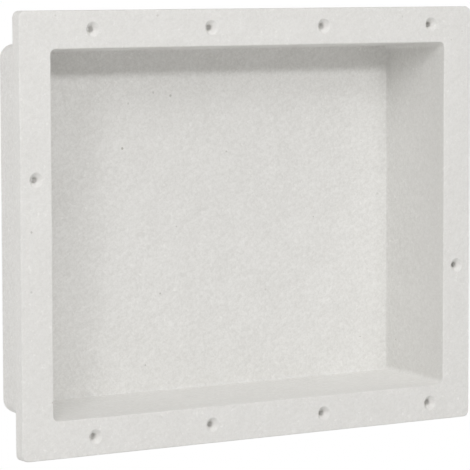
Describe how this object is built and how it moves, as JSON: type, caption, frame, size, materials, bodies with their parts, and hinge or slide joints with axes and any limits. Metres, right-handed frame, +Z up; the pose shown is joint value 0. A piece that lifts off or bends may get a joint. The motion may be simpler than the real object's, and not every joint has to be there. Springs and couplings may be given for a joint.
{
  "type": "shower niche insert",
  "caption": "One-piece recessed shower niche insert: a rectangular screw flange around an open-fronted tub with tapered walls, set into a wall and tiled over.",
  "frame": {"origin": "middle of the flange, on the plane of its back face, which bears on the wall", "axes": "+X along the flange's width, +Y into the wall towards the tub's back, +Z up; the open front faces -Y"},
  "size_m": [0.406, 0.0785, 0.3276],
  "materials": {
    "moulding": "matt, faintly mottled off-white moulding with a fine cast grain"
  },
  "bodies": {
    "root": {"niche_insert": "moulding"}
  },
  "joints": []
}
